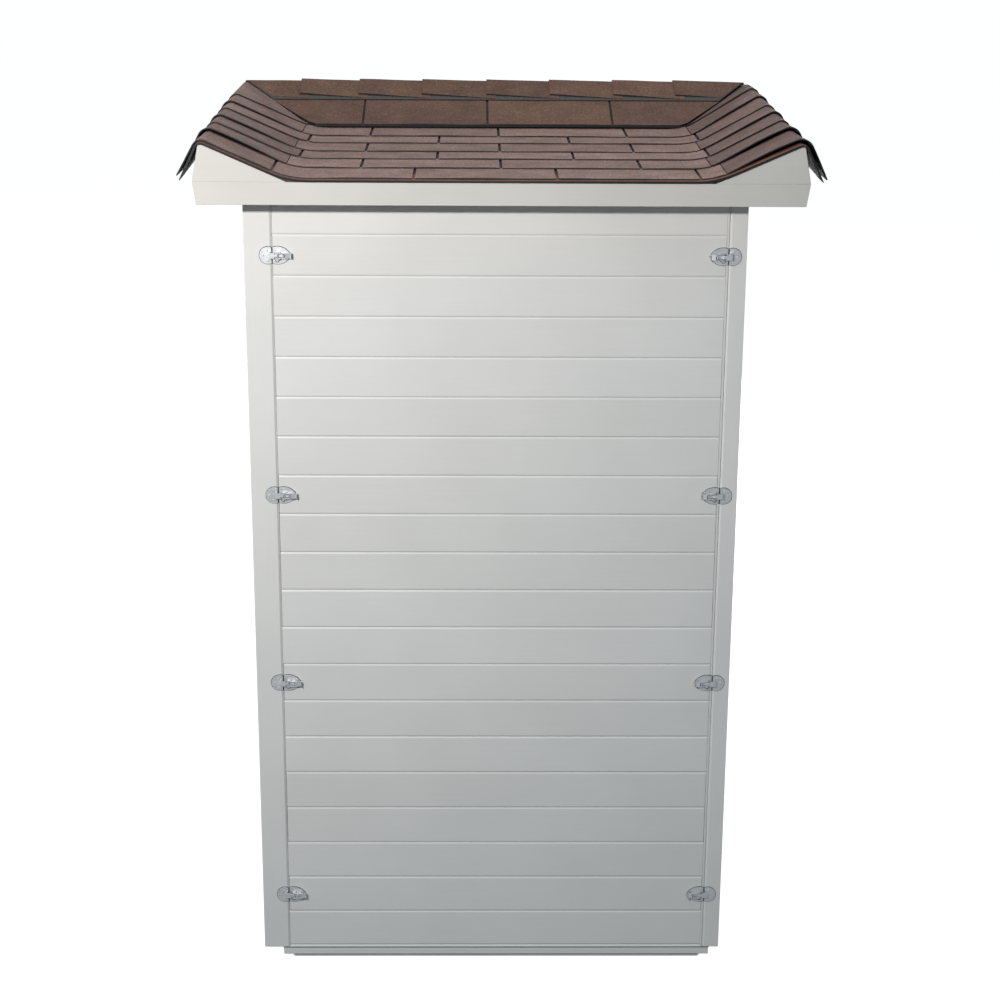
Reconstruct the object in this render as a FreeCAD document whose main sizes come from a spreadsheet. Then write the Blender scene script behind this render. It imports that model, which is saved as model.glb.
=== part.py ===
import FreeCAD, Part

import os
import re

import Sketcher

# A small sauna cabin: a closed box of four board-clad walls between corner posts, on a low
# floor, under a tray roof.  The tray is nearly level, drains over the back fascia, and turns
# up into wings along the left, the right and the front.  Draw latches hold the back wall to
# its two posts, so that it can be taken off.
#
# Millimetres.  X to the right seen from the back, Y from the back to the front, Z up.  The
# origin is on the ground, in the middle of the roof's plan.

SIZES = {
    # floor and runners
    "runner_tall": 8, "runner_end_inset": 24, "runner_wide": 60, "runner_inset": 2,
    "runner_chamfer": 5,
    "floor_thick": 22, "floor_past_panel": 18, "floor_inset": 2,
    # walls and corner posts
    "panel_width": 1088, "body_depth": 877, "wall_tall": 2004, "panel_thick": 44,
    "panel_recess": 1, "left_post_width": 68, "right_post_width": 44, "post_depth": 60,
    "post_chamfer": 5,
    # boards of the walls: the latches sit on the middle of a board
    "board_pitch": 100, "lowest_groove": 106,
    # roof
    "side_overhang": 126, "back_overhang": 120, "front_overhang": 120, "trim_thick": 20,
    "fascia_drop": 6, "eave_tall": 53, "eave_lean": 8, "rim_rise": 89, "rim_lean": 17,
    "wing_run": 202, "front_wing_run": 269, "deck_thick": 18,
    # shingle ends that are folded over the rim
    "shingle_thick": 6, "fold_reach": 49, "fold_drop": 90, "fold_lap": 12,
    # draw latches, measured from the joint between post and panel and from the panel's face
    "latch_plate_thick": 2,
    "keeper_radius": 21, "keeper_middle": 10, "keeper_edge": 2,
    "lip_place": 4, "lip_thick": 2, "lip_length": 18, "lip_lift": 4,
    "almond_radius": 36.2, "almond_offset": 15, "almond_along": 12, "almond_tip": 45,
    "plate_edge": 1,
    "ear_before": 4.5, "ear_after": 4.5, "ear_over_pin": 3.3, "ear_thick": 1.5,
    "lever_pin_along": 14.5, "lever_pin_over_plate": 6.2, "lever_pin_radius": 1.5,
    "lever_width": 13, "lever_length": 31, "lever_gap": 0.4, "cheek_thick": 1.5,
    "lever_over_pin": 3.8, "lever_foot_gap": 0.6, "lever_slope": 3, "lever_nose": 3.5,
    "lever_nose_above": 2.4, "lever_nose_below": 2.6, "lever_bevel": 2,
    "web_past_claw_pin": 5, "web_thick": 2, "tab_rise": 4,
    "claw_pin_inward": 11.5, "claw_pin_drop": 3.2, "claw_pin_radius": 1.4, "pin_fit": 0.08,
    "claw_thick": 2, "claw_side_gap": 1.5, "claw_head_width": 14, "claw_head_gap": 5,
    "claw_over_lip": 1, "claw_level": 9, "claw_step": 5, "claw_eye_radius": 2.6,
    "hook_gap": 0.6, "hook_end_gap": 1,
}

# Latches on each side of the back wall.
LATCHES_A_SIDE = 4

# Heights
WALL_FOOT = "(runner_tall + floor_thick)"
CEILING = f"({WALL_FOOT} + wall_tall)"
EAVE = f"({CEILING} - fascia_drop)"
SHOULDER = f"({EAVE} + eave_tall)"
RIM = f"({SHOULDER} + rim_rise)"

# Across, measured outward from the middle
HALF_PANEL = "(panel_width / 2)"
HALF_FLOOR = f"({HALF_PANEL} + floor_past_panel)"
HALF_RUNNER = f"({HALF_FLOOR} - runner_end_inset)"
HALF_ROOF = f"({HALF_PANEL} + right_post_width + side_overhang)"
HALF_RIM = f"({HALF_ROOF} - rim_lean)"
HALF_TRAY = f"({HALF_RIM} - wing_run)"

# Along, from the back to the front
BACK_FACE = "(-(back_overhang + body_depth + front_overhang + fold_reach - rim_lean) / 2)"
BEHIND_FASCIA = f"({BACK_FACE} + trim_thick)"
WALL_FACE = f"({BACK_FACE} + back_overhang)"
WALL_FRONT = f"({WALL_FACE} + body_depth)"
FRONT_SHOULDER = f"({WALL_FRONT} + front_overhang)"
FRONT_RIM = f"({FRONT_SHOULDER} - rim_lean)"
FRONT_CREASE = f"({FRONT_RIM} - front_wing_run)"

doc = FreeCAD.newDocument("sauna_cabin")
sheet = doc.addObject("Spreadsheet::Sheet", "sizes")
for row, (size_name, size) in enumerate(SIZES.items(), start=1):
    sheet.set(f"A{row}", str(size))
    sheet.setAlias(f"A{row}", size_name)
doc.recompute()

nodes = []


def sized(text):
    """An expression in which each size name is read from the sheet; round() and floor() stay."""
    return re.sub(r"\b[a-z_]+\b(?!\()", lambda word: "sizes." + word.group(0), str(text))


def place(piece, along_axes):
    """Bind a piece's position to the sheet."""
    for axis, text in zip("xyz", along_axes):
        piece.setExpression("Placement.Base." + axis, sized(text))
    return piece


def node(piece, label=None):
    """List a finished piece as a node of the model."""
    if label:
        piece.Label = label
    nodes.append(piece)
    return piece


def block(name, low, high):
    """A straight block from its lowest corner to its highest."""
    piece = doc.addObject("Part::Box", name)
    for side, start, end in zip(("Length", "Width", "Height"), low, high):
        piece.setExpression(side, sized(f"({end}) - ({start})"))
    return place(piece, low)


def rod(name, radius, length, middle, along="z"):
    """A round bar that starts at middle and runs along Z or along Y."""
    piece = doc.addObject("Part::Cylinder", name)
    piece.setExpression("Radius", sized(radius))
    piece.setExpression("Height", sized(length))
    if along == "y":
        piece.Placement.Rotation = FreeCAD.Rotation(FreeCAD.Vector(1, 0, 0), -90)
    return place(piece, middle)


def joined(kind, name, pieces):
    """A boolean of several pieces: Part::MultiFuse, Part::MultiCommon or Part::Compound."""
    piece = doc.addObject(kind, name)
    if kind == "Part::Compound":
        piece.Links = pieces
    else:
        piece.Shapes = pieces
    return piece


def cut_from(name, base, tool):
    piece = doc.addObject("Part::Cut", name)
    piece.Base = base
    piece.Tool = tool
    return piece


def drawn(body, name, plane, corners):
    """A closed outline with its corners bound to the sheet, on one of the body's planes."""
    sketch = body.newObject("Sketcher::SketchObject", name)
    origin_plane = [part for part in body.Origin.OriginFeatures if part.Role == plane][0]
    sketch.AttachmentSupport = (origin_plane, [""])
    sketch.MapMode = "FlatFace"
    count = len(corners)
    places = [[doc_value(text) for text in corner] for corner in corners]
    points = [FreeCAD.Vector(across, up, 0) for across, up in places]
    for index in range(count):
        sketch.addGeometry(Part.LineSegment(points[index], points[(index + 1) % count]), False)
    for index in range(count):
        sketch.addConstraint(
            Sketcher.Constraint("Coincident", index, 2, (index + 1) % count, 1))
    for index, corner in enumerate(corners):
        for kind, text, value in zip(("DistanceX", "DistanceY"), corner, places[index]):
            label = f"{kind[-1]}_{index}"
            number = sketch.addConstraint(
                Sketcher.Constraint(kind, -1, 1, index, 1, value))
            sketch.renameConstraint(number, label)
            sketch.setExpression("Constraints." + label, sized(text))
    return sketch


def doc_value(text):
    """What an expression comes to now, as the starting value of a constraint."""
    value = sheet.evalExpression(sized(text).replace("sizes.", ""))
    return float(getattr(value, "Value", value))


def board(name, plane, corners, length, start=("0", "0", "0")):
    """A piece of one section: an outline padded to its length from where it starts."""
    body = doc.addObject("PartDesign::Body", name)
    pad = body.newObject("PartDesign::Pad", name + "_pad")
    pad.Profile = drawn(body, name + "_section", plane, corners)
    pad.setExpression("Length", sized(length))
    body.Tip = pad
    return place(body, start)


def trim(body, name, corners):
    """Cut an upright mitre: everything above the outline, drawn on the ground plane."""
    doc.recompute()
    before = body.Shape.Volume
    pocket = body.newObject("PartDesign::Pocket", name)
    pocket.Profile = drawn(body, name + "_plan", "XY_Plane", corners)
    pocket.Type = "ThroughAll"
    pocket.Reversed = True
    body.Tip = pocket
    doc.recompute()
    if not body.Shape.Volume < before:
        raise ValueError(name + " cuts nothing")
    return body


# ---- floor -------------------------------------------------------------------------------

runner_section = [
    (f"-({HALF_RUNNER} - runner_chamfer)", "0"),
    (f"{HALF_RUNNER} - runner_chamfer", "0"),
    (HALF_RUNNER, "runner_chamfer"),
    (HALF_RUNNER, "runner_tall"),
    (f"-{HALF_RUNNER}", "runner_tall"),
    (f"-{HALF_RUNNER}", "runner_chamfer"),
]
RUNNER_BACK = f"({WALL_FACE} + floor_inset + runner_inset)"
RUNNER_FRONT = f"({WALL_FRONT} - floor_inset - runner_inset - runner_wide)"
runners = []
for word, start in (
    ("back", RUNNER_BACK),
    ("middle", f"({RUNNER_BACK} + {RUNNER_FRONT}) / 2"),
    ("front", RUNNER_FRONT),
):
    runners.append(board(f"runner_{word}", "XZ_Plane", runner_section, "runner_wide",
                         ("0", f"{start} + runner_wide", "0")))
node(joined("Part::Compound", "base_runners", runners))

node(block("floor_panel",
           (f"-{HALF_FLOOR}", f"{WALL_FACE} + floor_inset", "runner_tall"),
           (HALF_FLOOR, f"{WALL_FRONT} - floor_inset", WALL_FOOT)))

# ---- walls and posts ---------------------------------------------------------------------

for word, start in (
    ("back", f"{WALL_FACE} + panel_recess"),
    ("front", f"{WALL_FRONT} - panel_recess - panel_thick"),
):
    node(block(word + "_wall",
               (f"-{HALF_PANEL}", start, WALL_FOOT),
               (HALF_PANEL, f"{start} + panel_thick", CEILING)))

# A side wall is as thick as its corner posts are wide, less the recess.
for word, low, high in (
    ("left", f"-({HALF_PANEL} + left_post_width - panel_recess)", f"-{HALF_PANEL}"),
    ("right", HALF_PANEL, f"{HALF_PANEL} + right_post_width - panel_recess"),
):
    node(block(word + "_wall",
               (low, f"{WALL_FACE} + post_depth", WALL_FOOT),
               (high, f"{WALL_FRONT} - post_depth", CEILING)))


def corner_post(end, side, outward, face, inward):
    """A post whose edge beside the panel is chamfered, so that the joint shows as a line."""
    joint = f"{outward} * {HALF_PANEL}"
    outer = f"{outward} * ({HALF_PANEL} + {side}_post_width)"
    chamfered = f"{outward} * ({HALF_PANEL} + post_chamfer)"
    section = [
        (outer, face),
        (chamfered, face),
        (joint, f"{face} + {inward} * post_chamfer"),
        (joint, f"{face} + {inward} * post_depth"),
        (outer, f"{face} + {inward} * post_depth"),
    ]
    node(board(f"{end}_{side}_post", "XY_Plane", section, "wall_tall", ("0", "0", WALL_FOOT)))


for end, face, inward in (("back", WALL_FACE, 1), ("front", WALL_FRONT, -1)):
    for side, outward in (("left", -1), ("right", 1)):
        corner_post(end, side, outward, face, inward)

# ---- roof: ceiling, fascias, rim boards, decks and folded shingle ends -------------------

node(block("ceiling_panel",
           (f"-({HALF_ROOF} - eave_lean - trim_thick)", BEHIND_FASCIA, CEILING),
           (f"{HALF_ROOF} - eave_lean - trim_thick",
            f"{FRONT_SHOULDER} - eave_lean - trim_thick",
            f"{SHOULDER} - deck_thick")))
node(block("tray_deck",
           (f"-{HALF_TRAY}", BEHIND_FASCIA, f"{SHOULDER} - deck_thick"),
           (HALF_TRAY, FRONT_CREASE, SHOULDER)))

node(board("back_fascia", "XZ_Plane",
           [(f"-({HALF_ROOF} - eave_lean)", EAVE), (f"{HALF_ROOF} - eave_lean", EAVE),
            (HALF_ROOF, SHOULDER), (f"-{HALF_ROOF}", SHOULDER)],
           "trim_thick", ("0", BEHIND_FASCIA, "0")))

# Sections of what runs round the left, the front and the right, as (out from the shoulder,
# height).  A wing's slope differs between the sides and the front.
LEAN_SECTION = [("-eave_lean", EAVE), ("0", SHOULDER), ("-trim_thick", SHOULDER),
                ("-eave_lean - trim_thick", EAVE)]
FOLD_FOOT = f"{RIM} - fold_drop"


def rim_section(run):
    """The leaning board above the shoulder: its top follows the underside of the wing."""
    top = f"{RIM} - deck_thick"
    lean = "rim_lean * (rim_rise - deck_thick) / rim_rise"
    return [("0", SHOULDER), (f"-{lean}", top),
            (f"-{lean} - trim_thick", f"{top} - trim_thick * rim_rise / {run}"),
            ("-trim_thick", SHOULDER)]


def deck_section(run):
    """The wing's deck, from its crease up to the rim."""
    return [(f"-rim_lean - {run}", f"{SHOULDER} - deck_thick"),
            ("-rim_lean", f"{RIM} - deck_thick"),
            ("-rim_lean", RIM),
            (f"-rim_lean - {run}", SHOULDER)]


def fold_section(run):
    """Shingle ends bent over the rim: they lap the deck and stand off the board below."""
    return [("-rim_lean", RIM),
            ("-rim_lean - fold_lap", f"{RIM} - fold_lap * rim_rise / {run}"),
            ("-rim_lean - fold_lap", f"{RIM} - fold_lap * rim_rise / {run} + shingle_thick"),
            ("-rim_lean", f"{RIM} + shingle_thick"),
            ("-rim_lean + fold_reach", FOLD_FOOT),
            ("-rim_lean + fold_reach - shingle_thick", FOLD_FOOT)]


# How far the uncut pieces run past the shoulder's corner, which every mitre cuts back.
REACH = "(rim_lean + fold_reach)"


def side_piece(name, outward, section):
    """A piece along the left or the right, mitred at its front end."""
    end = f"({FRONT_SHOULDER} + {REACH})"
    corners = [(f"{outward} * ({HALF_ROOF} + {out})", up) for out, up in section]
    body = board(name, "XZ_Plane", corners, f"{end} - {BEHIND_FASCIA}", ("0", end, "0"))
    trim(body, name + "_mitre", [
        (f"{outward} * ({HALF_ROOF} + {REACH})", "0"),
        (f"{outward} * {HALF_RIM}", f"{FRONT_RIM} - {end}"),
        (f"{outward} * {HALF_TRAY}", f"{FRONT_CREASE} - {end}"),
        (f"{outward} * ({HALF_TRAY} - {REACH})", "0"),
    ])
    node(body)


def front_piece(name, section):
    """A piece across the front, mitred at both ends."""
    half_length = f"({HALF_ROOF} + {REACH})"
    corners = [(f"{FRONT_SHOULDER} + {out}", up) for out, up in section]
    body = board(name, "YZ_Plane", corners, f"2 * {half_length}", (f"-{half_length}", "0", "0"))
    for side, outward in (("left", -1), ("right", 1)):
        end = f"{half_length} + {outward} * {half_length}"
        trim(body, f"{name}_{side}_mitre", [
            (end, f"{FRONT_SHOULDER} + {REACH}"),
            (f"{half_length} + {outward} * {HALF_RIM}", FRONT_RIM),
            (f"{half_length} + {outward} * {HALF_TRAY}", FRONT_CREASE),
            (end, f"{FRONT_CREASE} - {REACH}"),
        ])
    node(body)


for side, outward in (("left", -1), ("right", 1)):
    side_piece(side + "_fascia", outward, LEAN_SECTION)
    side_piece(side + "_rim_board", outward, rim_section("wing_run"))
    side_piece(side + "_wing_deck", outward, deck_section("wing_run"))
    side_piece(side + "_shingle_fold", outward, fold_section("wing_run"))
    node(board(f"back_{side}_gable", "XZ_Plane",
               [(f"{outward} * {HALF_ROOF}", SHOULDER), (f"{outward} * {HALF_RIM}", RIM),
                (f"{outward} * {HALF_TRAY}", SHOULDER)],
               "trim_thick", ("0", BEHIND_FASCIA, "0")))
front_piece("front_fascia", LEAN_SECTION)
front_piece("front_rim_board", rim_section("front_wing_run"))
front_piece("front_wing_deck", deck_section("front_wing_run"))
front_piece("front_shingle_fold", fold_section("front_wing_run"))

# ---- draw latches ------------------------------------------------------------------------
# A latch is drawn in its own frame: inward from the joint, out from the panel's face, and up
# from its middle.  On the right-hand post, inward is towards -X.

LEVER_PIN_LIFT = "(latch_plate_thick + lever_pin_over_plate)"
LEVER_TOP = f"({LEVER_PIN_LIFT} + lever_over_pin)"
LEVER_FOOT = "(latch_plate_thick + lever_foot_gap)"
EAR_START = "(lever_pin_along - ear_before)"
KEEPER_TOP = "(panel_recess + latch_plate_thick)"
LIP_TOP = f"({KEEPER_TOP} + lip_lift)"
CLAW_PIN_ALONG = "(lever_pin_along + claw_pin_inward)"
CLAW_PIN_LIFT = f"({LEVER_PIN_LIFT} - claw_pin_drop)"
CLAW_WIDTH = "(lever_width - 2 * cheek_thick - 2 * claw_side_gap)"
HOOK_INNER = "(-(lip_place + lip_thick + hook_gap))"

# Full boards between the lowest and the highest groove.  The lowest latch is on the first of
# them, the highest on the last, and the others as evenly between as whole boards allow.
FULL_BOARDS = "floor((wall_tall - lowest_groove) / board_pitch)"


class Latch:
    """The five pieces of one draw latch, made in its own frame and then put in place."""

    def __init__(self, side, number, inward):
        share = f"{LATCHES_A_SIDE - number} / {LATCHES_A_SIDE - 1}"
        boards_up = f"(round(({FULL_BOARDS} - 1) * {share}) + 1 / 2)"
        self.tag = f"{side}_{number}"
        self.inward = inward
        self.place = (f"{-inward} * {HALF_PANEL}", f"{WALL_FACE} + panel_recess",
                      f"{WALL_FOOT} + lowest_groove + {boards_up} * board_pitch")

    def name(self, word):
        return f"{word}_{self.tag}"

    def flipped(self, start, end):
        """The lower and higher X of a stretch that is given inward from the joint."""
        if self.inward > 0:
            return start, end
        return f"-({end})", f"-({start})"

    def block(self, word, along, out, up):
        low_x, high_x = self.flipped(*along)
        return block(self.name(word), (low_x, f"-({out[1]})", up[0]),
                     (high_x, f"-({out[0]})", up[1]))

    def disc(self, word, radius, thick, along, out, up="0"):
        return rod(self.name(word), radius, thick,
                   (f"{self.inward} * ({along})", f"-({out}) - ({thick})", up), along="y")

    def pin(self, word, radius, along, out, low, length):
        return rod(self.name(word), radius, length,
                   (f"{self.inward} * ({along})", f"-({out})", low))

    def profile(self, word, corners, low, thick):
        corners = [(f"{self.inward} * ({along})", f"-({out})") for along, out in corners]
        return board(self.name(word), "XY_Plane", corners, thick, ("0", "0", low))

    def fused(self, word, pieces):
        return joined("Part::MultiFuse", self.name(word), pieces)

    def keeper(self):
        """A D-shaped plate on the post, with the lip that the claw hooks over."""
        round_plate = self.disc("keeper_round", "keeper_radius", "latch_plate_thick",
                                "-keeper_middle", "panel_recess")
        half = self.block("keeper_half", ("-keeper_middle - keeper_radius", "-keeper_edge"),
                          ("panel_recess", KEEPER_TOP), ("-keeper_radius", "keeper_radius"))
        plate = joined("Part::MultiCommon", self.name("keeper_plate"), [round_plate, half])
        lip = self.block("keeper_lip", ("-lip_place - lip_thick", "-lip_place"),
                         ("panel_recess", LIP_TOP), ("-lip_length / 2", "lip_length / 2"))
        return place(self.fused("latch_keeper", [plate, lip]), self.place)

    def plate(self):
        """An almond-shaped plate on the panel, with two ears that hold the lever's pins."""
        rounds = [self.disc(f"almond_{word}", "almond_radius", "latch_plate_thick",
                            "almond_along", "0", f"{sign} * almond_offset")
                  for word, sign in (("low", -1), ("high", 1))]
        half = self.block("almond_half", ("plate_edge", "almond_tip"),
                          ("0", "latch_plate_thick"), ("-almond_radius", "almond_radius"))
        pieces = [joined("Part::MultiCommon", self.name("almond"), rounds + [half])]
        inner = "(lever_width / 2 + lever_gap)"
        stub = "(cheek_thick + lever_gap + ear_thick)"
        for word, low, stub_low in (
            ("low", f"-{inner} - ear_thick", f"-{inner} - ear_thick"),
            ("high", inner, f"{inner} + ear_thick - {stub}"),
        ):
            pieces.append(self.block(
                "ear_" + word,
                (EAR_START, "lever_pin_along + ear_after"),
                ("0", f"{LEVER_PIN_LIFT} + ear_over_pin"), (low, f"{low} + ear_thick")))
            pieces.append(self.pin("stub_" + word, "lever_pin_radius", "lever_pin_along",
                                   LEVER_PIN_LIFT, stub_low, stub))
        return place(self.fused("latch_plate", pieces), self.place)

    def lever(self):
        """Two cheeks on the ears' pins, joined by a web with a finger tab and the claw's pin."""
        start = "(lever_pin_along - lever_nose)"
        tip = "(lever_pin_along + lever_length)"
        tip_top = f"({LEVER_TOP} - lever_slope)"
        tip_under = f"({tip_top} - web_thick)"
        web = f"({CLAW_PIN_ALONG} + web_past_claw_pin)"
        cheek = [
            (start, f"{LEVER_PIN_LIFT} - lever_nose_below"),
            (start, f"{LEVER_PIN_LIFT} + lever_nose_above"),
            (f"{start} + lever_bevel", LEVER_TOP), (web, LEVER_TOP),
            (tip, tip_top), (tip, tip_under), (f"{web} + web_thick", tip_under),
            (web, LEVER_FOOT), (f"{CLAW_PIN_ALONG} - claw_eye_radius", LEVER_FOOT),
        ]
        half = "(lever_width / 2)"
        bare = [self.profile("cheek_low", cheek, f"-{half}", "cheek_thick"),
                self.profile("cheek_high", cheek, f"{half} - cheek_thick", "cheek_thick")]
        web_profile = [(web, LEVER_TOP), (tip, tip_top),
                       (tip, tip_under), (web, f"{LEVER_TOP} - web_thick")]
        bare.append(self.profile("web", web_profile, f"-{half}", "lever_width"))
        bare.append(self.block("tab", (f"{tip} - web_thick", tip),
                               (tip_under, f"{tip_top} + tab_rise"), (f"-{half}", half)))
        bare.append(self.pin("claw_pin", "claw_pin_radius", CLAW_PIN_ALONG, CLAW_PIN_LIFT,
                             f"-{half}", "lever_width"))
        holes = self.pin("lever_bore", "lever_pin_radius + pin_fit", "lever_pin_along",
                         LEVER_PIN_LIFT, f"-{half}", "lever_width")
        solid = self.fused("lever_solid", bare)
        return place(cut_from(self.name("latch_lever"), solid, holes), self.place)

    def claw(self):
        """The hook: a flat arm from its eye on the lever to a wider head over the lip."""
        arm_under = f"({LIP_TOP} + claw_over_lip)"
        arm_over = f"({arm_under} + claw_thick)"
        eye_over = f"({CLAW_PIN_LIFT} + claw_thick / 2)"
        eye_under = f"({CLAW_PIN_LIFT} - claw_thick / 2)"
        level_end = f"({CLAW_PIN_ALONG} - claw_level)"
        step_end = f"({level_end} - claw_step)"
        arm = [
            (CLAW_PIN_ALONG, eye_under), (CLAW_PIN_ALONG, eye_over), (level_end, eye_over),
            (step_end, arm_over), ("0", arm_over), ("0", arm_under),
            (step_end, arm_under), (level_end, eye_under),
        ]
        hook_outer = f"({HOOK_INNER} - claw_thick)"
        hook_end = f"({KEEPER_TOP} + hook_end_gap)"
        head_end = f"({EAR_START} - claw_head_gap)"
        head = [
            (hook_outer, hook_end), (hook_outer, arm_over), (head_end, arm_over),
            (head_end, arm_under), (HOOK_INNER, arm_under), (HOOK_INNER, hook_end),
        ]
        low = f"-{CLAW_WIDTH} / 2"
        solid = self.fused("claw_solid", [
            self.profile("claw_arm", arm, low, CLAW_WIDTH),
            self.profile("claw_head", head, "-claw_head_width / 2", "claw_head_width"),
            self.pin("claw_eye", "claw_eye_radius", CLAW_PIN_ALONG, CLAW_PIN_LIFT,
                     low, CLAW_WIDTH),
        ])
        bore = self.pin("claw_bore", "claw_pin_radius + pin_fit", CLAW_PIN_ALONG,
                        CLAW_PIN_LIFT, low, CLAW_WIDTH)
        return place(cut_from(self.name("latch_claw"), solid, bore), self.place)


latches = [Latch(side, number, inward)
           for side, inward in (("left", 1), ("right", -1))
           for number in range(1, LATCHES_A_SIDE + 1)]
node(joined("Part::Compound", "latch_keepers", [latch.keeper() for latch in latches]))
node(joined("Part::Compound", "latch_plates", [latch.plate() for latch in latches]))
for latch in latches:
    node(latch.lever())
    node(latch.claw())

# ---- checks and export -------------------------------------------------------------------

doc.recompute()
for piece in doc.Objects:
    if "Invalid" in piece.State or "Error" in piece.State:
        raise ValueError(f"{piece.Label} failed: {piece.State}")
for piece in nodes:
    if piece.Shape.isNull() or not piece.Shape.isValid():
        raise ValueError(piece.Label + " has no valid shape")

os.makedirs("parts", exist_ok=True)
for piece in nodes:
    piece.Shape.exportStep(f"parts/{piece.Label}.step")
    litres = piece.Shape.Volume / 1e6
    print(f"{piece.Label:22s} {len(piece.Shape.Solids)} solids {litres:9.4f} litres")
print(len(nodes), "nodes")
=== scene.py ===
# %% [markdown]
# # A small sauna cabin, seen from behind
# The cabin is a white board-clad box with eight draw latches, under a tray roof of brown asphalt
# shingles that turns up into wings at the left, the right and the far side.  The measured model
# is loaded first.  Everything else is built round it, in metres, with X to the right, Y away
# from the back wall and Z up.

# %% Load the measured model
import math
import random

import bmesh
import bpy
import numpy as np
from mathutils import Matrix, Vector, noise


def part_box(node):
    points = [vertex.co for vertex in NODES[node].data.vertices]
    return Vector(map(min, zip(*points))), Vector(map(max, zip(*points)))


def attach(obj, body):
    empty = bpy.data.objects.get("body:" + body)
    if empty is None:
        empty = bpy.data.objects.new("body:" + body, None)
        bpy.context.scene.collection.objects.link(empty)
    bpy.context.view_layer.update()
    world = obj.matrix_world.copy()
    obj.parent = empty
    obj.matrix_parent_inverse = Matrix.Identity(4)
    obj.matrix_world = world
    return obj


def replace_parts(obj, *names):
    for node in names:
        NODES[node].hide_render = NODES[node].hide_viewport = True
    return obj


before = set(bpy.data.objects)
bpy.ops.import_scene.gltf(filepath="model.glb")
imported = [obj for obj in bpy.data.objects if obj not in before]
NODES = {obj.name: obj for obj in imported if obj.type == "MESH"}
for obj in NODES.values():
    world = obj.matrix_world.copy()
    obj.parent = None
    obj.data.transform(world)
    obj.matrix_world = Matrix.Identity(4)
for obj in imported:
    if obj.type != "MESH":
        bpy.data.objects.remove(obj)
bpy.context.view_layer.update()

MM = 0.001
draw = random.Random(21)

# %% [markdown]
# ## Colours and shader nodes
# A material is a little network.  One function turns the hex colours that designers use into the
# linear numbers that light is added up in.  One other adds a node, with its settings and the
# sockets that feed it, so that a whole material reads from top to bottom.  A Mix node set to
# multiply darkens one colour by another.

# %% Colour and node helpers
MULTIPLY = {"data_type": "RGBA", "blend_type": "MULTIPLY"}


def linear(hex_colour):
    """An sRGB hex colour as linear red, green, blue and full opacity."""
    shares = [int(hex_colour[i:i + 2], 16) / 255 for i in (1, 3, 5)]
    return [s / 12.92 if s <= 0.04045 else ((s + 0.055) / 1.055) ** 2.4 for s in shares] + [1]


def add(tree, kind, inputs=(), stops=(), **settings):
    """Add a node; an input is a plain value or another node's output socket.

    The stops of a colour ramp are pairs of a place and a hex colour.
    """
    made = tree.nodes.new("ShaderNode" + kind)
    for name, value in settings.items():
        setattr(made, name, value)
    for name, value in dict(inputs).items():
        if isinstance(value, bpy.types.NodeSocket):
            tree.links.new(value, made.inputs[name])
        else:
            made.inputs[name].default_value = value
    for _ in stops[2:]:
        made.color_ramp.elements.new(0.5)
    if stops:
        for element, (place, hex_colour) in zip(made.color_ramp.elements, stops):
            element.position = place
            element.color = linear(hex_colour)
    return made


def new_material(name, **settings):
    """A material with only its Principled shader, whose sockets take the given values."""
    material = bpy.data.materials.new(name)
    material.use_nodes = True
    shader = material.node_tree.nodes["Principled BSDF"]
    for socket, value in settings.items():
        shader.inputs[socket.replace("_", " ")].default_value = value
    return material, material.node_tree, shader


# %% [markdown]
# ## White satin paint on planed spruce
# The boards are planed softwood with two coats of satin alkyd paint.  The paint hides the colour
# of the wood but not its grain, which stands up as long ridges 3 to 4 mm apart, so a noise that
# is stretched along the grain drives a small bump.  The coat is a little thinner in clouds about
# 200 mm across.  Each board took the paint a little differently, which a "tone" stored on its
# faces gives.

# %% Paint materials
GRAIN_WIDTH = 3.5 * MM
GRAIN_LENGTH = 220 * MM
CLOUD = 200 * MM


def satin_paint(name, upright, dull="#e6e4e1", bright="#ebe9e6"):
    """Satin white paint, with the grain running up or along."""
    material, tree, shader = new_material(name, Roughness=0.42, IOR=1.5)
    place = add(tree, "TexCoord").outputs["Object"]
    along, across = 1 / GRAIN_LENGTH, 1 / GRAIN_WIDTH
    scale = (across, across, along) if upright else (along, along, across)
    stretched = add(tree, "Mapping", {"Vector": place, "Scale": scale}).outputs["Vector"]
    grain = add(tree, "TexNoise", {"Vector": stretched, "Scale": 1, "Detail": 3}).outputs["Fac"]
    cloud = add(tree, "TexNoise", {"Vector": place, "Scale": 1 / CLOUD, "Detail": 4})
    tone = add(tree, "Attribute", attribute_name="tone")
    white = add(tree, "ValToRGB", {"Fac": cloud.outputs["Fac"]},
                stops=((0.3, dull), (0.7, bright)))
    ridges = add(tree, "ValToRGB", {"Fac": grain}, stops=((0.35, "#f7f6f5"), (0.6, "#ffffff")))
    coats = add(tree, "ValToRGB", {"Fac": tone.outputs["Fac"]},
                stops=((0, "#f9f9f8"), (1, "#ffffff")))
    worn = add(tree, "Mix", {0: 0.2, 6: white.outputs[0], 7: ridges.outputs[0]}, **MULTIPLY)
    toned = add(tree, "Mix", {0: 1.0, 6: worn.outputs[2], 7: coats.outputs[0]}, **MULTIPLY)
    tree.links.new(toned.outputs[2], shader.inputs["Base Color"])
    bump = add(tree, "Bump", {"Height": grain, "Strength": 0.08, "Distance": 0.3 * MM})
    tree.links.new(bump.outputs["Normal"], shader.inputs["Normal"])
    return material


board_paint = satin_paint("satin_paint_on_level_boards", upright=False)
post_paint = satin_paint("satin_paint_on_upright_posts", upright=True)
trim_paint = satin_paint("satin_paint_on_roof_trim", upright=False, dull="#d3cfc9",
                         bright="#d9d5cf")
print("paint:", board_paint.name, post_paint.name, trim_paint.name)

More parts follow.
